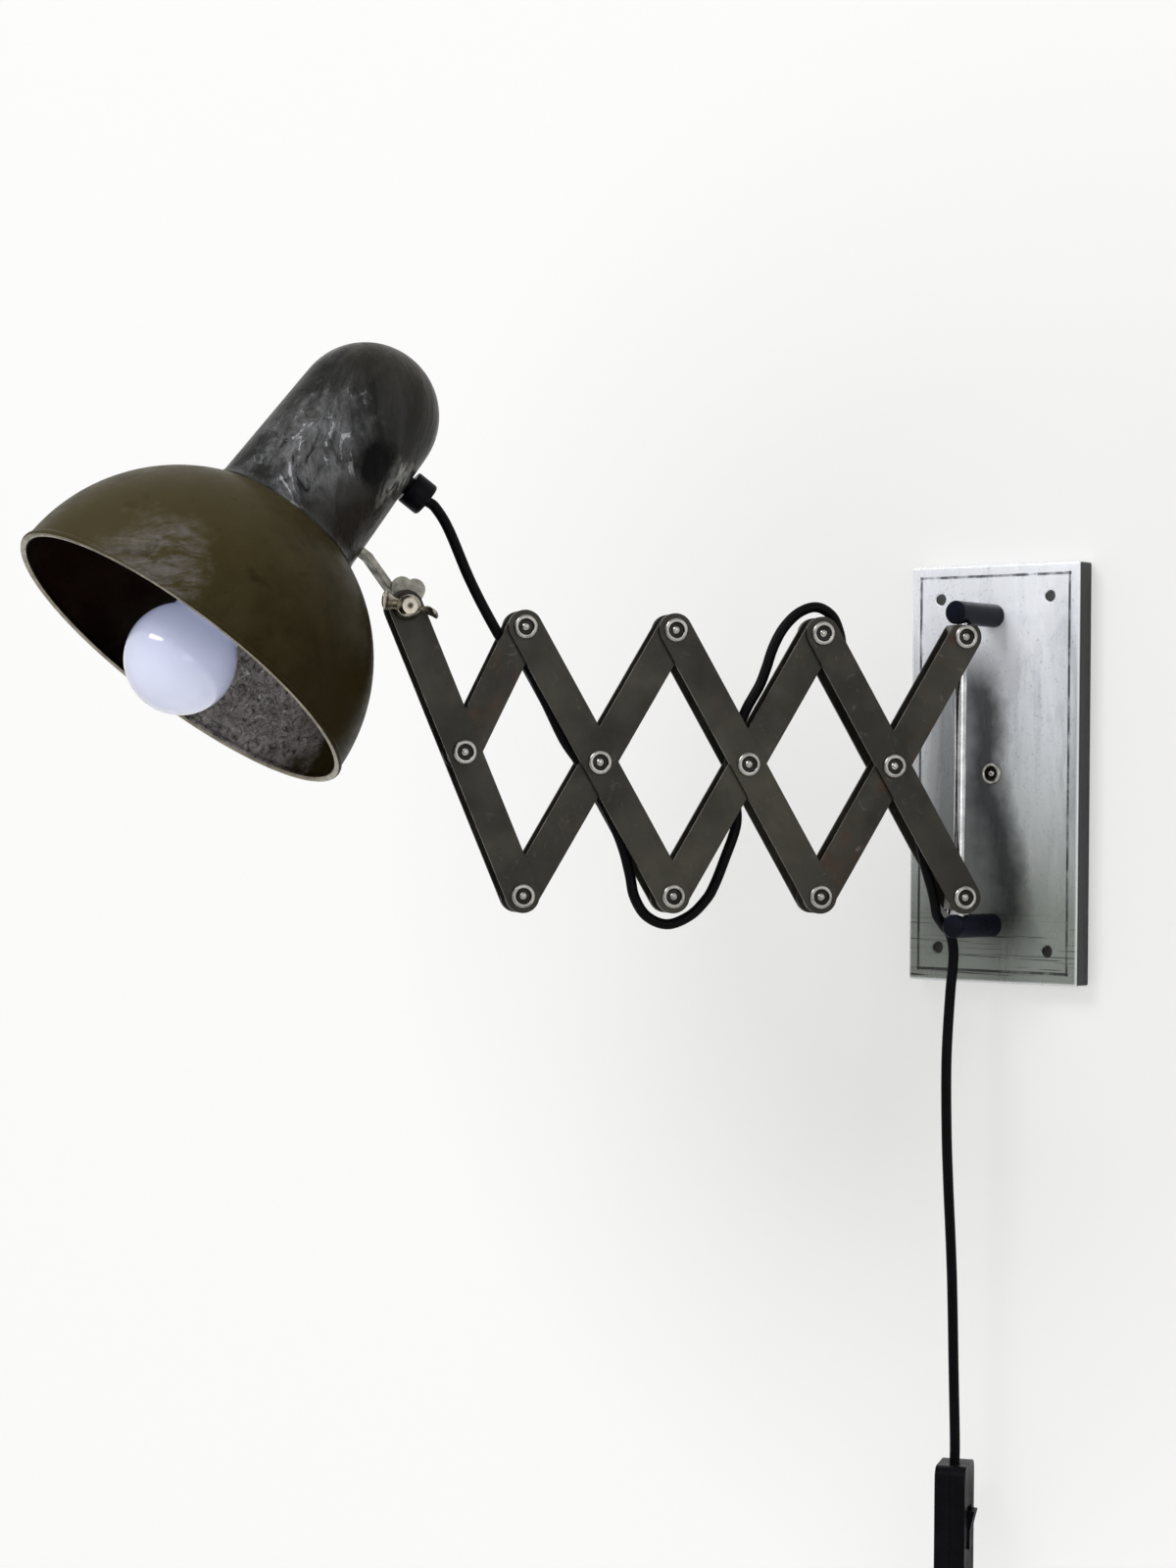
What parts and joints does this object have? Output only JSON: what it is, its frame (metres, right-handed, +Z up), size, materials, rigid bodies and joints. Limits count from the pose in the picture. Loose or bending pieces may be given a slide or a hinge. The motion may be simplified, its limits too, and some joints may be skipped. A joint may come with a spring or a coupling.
{
  "type": "telescopic arm wall lamp",
  "caption": "Wall lamp on a folding scissor-lattice arm of flat steel bars that swings on a rod between two pegs, with a tilting bowl shade on a wing-nut bracket and a corded rocker switch.",
  "frame": {"origin": "centre of the wall plate's back, on the wall", "axes": "+Z up, -Y out from the wall into the room, +X to the right as seen from the room"},
  "size_m": [0.3106, 0.3691, 0.6582],
  "materials": {
    "plate_steel": "worn, smudged",
    "screw_steel": "bright",
    "peg_black": "satin black",
    "rod_bright": "bright",
    "collar_steel": "dark, worn",
    "bar_steel": "dark, faint sheen",
    "shade_paint": "olive brown, satin",
    "neck_paint": "worn charcoal",
    "bracket_steel": "pale, worn",
    "nut_nickel": "worn nickel",
    "holder_black": "black, moulded",
    "tube_brass": "plain",
    "bulb_glass": "opal white",
    "cap_metal": "bright",
    "bush_black": "black",
    "cord_black": "black, satin",
    "switch_black": "black, moulded",
    "rocker_black": "black",
    "tie_black": "matt black",
    "plug_black": "black",
    "pin_nickel": "nickel plated"
  },
  "bodies": {
    "wall_mount": {"wall_plate": "plate_steel", "plate_centre_screw": "screw_steel", "top_peg": "peg_black", "bottom_peg": "peg_black", "peg_screws": "screw_steel", "slide_rod": "rod_bright", "stop_washer": "rod_bright", "cord_to_switch": "cord_black", "switch_front": "switch_black", "switch_back": "switch_black", "switch_screws": "screw_steel", "cord_coil": "cord_black", "cord_tie": "tie_black", "plug_body": "plug_black", "plug_pins": "pin_nickel", "lead_wrap": "cord_black"},
    "switch_key": {"switch_rocker": "rocker_black"},
    "swivel": {"lower_collar": "collar_steel", "lower_collar_screws": "screw_steel"},
    "rising_1": {"rising_bar_1_front": "bar_steel", "rising_bar_1_rear": "bar_steel", "rivets_1": "screw_steel", "lead_rising_1": "cord_black"},
    "falling_1": {"falling_bar_1_front": "bar_steel", "falling_bar_1_rear": "bar_steel"},
    "slider": {"upper_collar": "collar_steel", "upper_collar_screws": "screw_steel"},
    "falling_2": {"falling_bar_2_front": "bar_steel", "falling_bar_2_rear": "bar_steel", "lead_falling_2": "cord_black", "lead_loop_top": "cord_black"},
    "rising_2": {"rising_bar_2_front": "bar_steel", "rising_bar_2_rear": "bar_steel", "rivets_2": "screw_steel"},
    "rising_3": {"rising_bar_3_front": "bar_steel", "rising_bar_3_rear": "bar_steel", "rivets_3": "screw_steel", "lead_rising_3": "cord_black", "lead_loop_low": "cord_black"},
    "falling_3": {"falling_bar_3_front": "bar_steel", "falling_bar_3_rear": "bar_steel", "rivet_low_3": "screw_steel"},
    "end_links": {"end_link_front": "bar_steel", "end_link_rear": "bar_steel"},
    "rising_4": {"rising_bar_4_front": "bar_steel", "rising_bar_4_rear": "bar_steel", "rivet_mid_4": "screw_steel", "tilt_bolt": "screw_steel"},
    "wing_nut": {"wing_nut": "nut_nickel"},
    "shade": {"shade_bowl": "shade_paint", "shade_neck": "neck_paint", "shade_bracket": "bracket_steel", "lampholder_body": "holder_black", "lampholder_top": "holder_black", "threaded_tube": "tube_brass", "bulb_globe": "bulb_glass", "bulb_cap": "cap_metal", "cord_bush": "bush_black", "lead_in_shade": "cord_black", "lead_span": "cord_black"}
  },
  "joints": [
    {"name": "arm_swing", "type": "hinge", "parent": "wall_mount", "child": "swivel", "pos_m": [0, -0.0346, -0.05269], "axis": [0, 0, 1], "range_deg": [-40, 115], "deforming": ["lead_wrap"]},
    {"name": "arm_extend", "type": "hinge", "parent": "swivel", "child": "rising_1", "pos_m": [0, -0.0346, -0.05269], "axis": [0.7944, -0.6074, 0], "range_deg": [0, 35]},
    {"name": "centre_pivot_1", "type": "hinge", "parent": "rising_1", "child": "falling_1", "pos_m": [-0.01928, -0.05982, 0.0023], "axis": [0.7944, -0.6074, 0], "range_deg": [-70.01, 0]},
    {"name": "slider_pivot", "type": "hinge", "parent": "falling_1", "child": "slider", "pos_m": [0, -0.0346, 0.05729], "axis": [0.7944, -0.6074, 0], "range_deg": [0, 35]},
    {"name": "top_pivot_1", "type": "hinge", "parent": "rising_1", "child": "falling_2", "pos_m": [-0.03857, -0.08504, 0.05729], "axis": [0.7944, -0.6074, 0], "range_deg": [-70.01, 0], "deforming": ["lead_loop_top"]},
    {"name": "centre_pivot_2", "type": "hinge", "parent": "falling_2", "child": "rising_2", "pos_m": [-0.05785, -0.11027, 0.0023], "axis": [0.7944, -0.6074, 0], "range_deg": [0, 70.01]},
    {"name": "low_pivot_2", "type": "hinge", "parent": "falling_2", "child": "rising_3", "pos_m": [-0.07714, -0.13549, -0.05269], "axis": [0.7944, -0.6074, 0], "range_deg": [0, 70.01], "deforming": ["lead_loop_low"]},
    {"name": "centre_pivot_3", "type": "hinge", "parent": "rising_3", "child": "falling_3", "pos_m": [-0.09642, -0.16071, 0.0023], "axis": [0.7944, -0.6074, 0], "range_deg": [-70.01, 0]},
    {"name": "top_pivot_3", "type": "hinge", "parent": "rising_3", "child": "end_links", "pos_m": [-0.11571, -0.18594, 0.05729], "axis": [0.7944, -0.6074, 0], "range_deg": [-78.55, 0]},
    {"name": "centre_pivot_4", "type": "hinge", "parent": "end_links", "child": "rising_4", "pos_m": [-0.13074, -0.2056, 0.00578], "axis": [0.7944, -0.6074, 0], "range_deg": [0, 79.42]},
    {"name": "shade_tilt", "type": "hinge", "parent": "rising_4", "child": "shade", "pos_m": [-0.14578, -0.22527, 0.06426], "axis": [0.7944, -0.6074, 0], "range_deg": [-45, 25], "deforming": ["lead_span"]},
    {"name": "wing_nut_turn", "type": "hinge", "parent": "rising_4", "child": "wing_nut", "pos_m": [-0.14578, -0.22527, 0.06426], "axis": [0.7944, -0.6074, 0], "range_deg": [-180, 180]},
    {"name": "switch_key_rock", "type": "hinge", "parent": "wall_mount", "child": "switch_key", "pos_m": [-0.00604, -0.02175, -0.3215], "axis": [-0.4067, 0.9135, 0], "range_deg": [-14, 0]}
  ],
  "couplings": [
    {"joint": "centre_pivot_1", "follows": "arm_extend", "ratio": -2},
    {"joint": "slider_pivot", "follows": "arm_extend", "ratio": 1},
    {"joint": "top_pivot_1", "follows": "arm_extend", "ratio": -2},
    {"joint": "centre_pivot_2", "follows": "arm_extend", "ratio": 2},
    {"joint": "low_pivot_2", "follows": "arm_extend", "ratio": 2},
    {"joint": "centre_pivot_3", "follows": "arm_extend", "ratio": -2},
    {"joint": "top_pivot_3", "follows": "arm_extend", "ratio": -2.244},
    {"joint": "centre_pivot_4", "follows": "arm_extend", "ratio": 2.269}
  ]
}
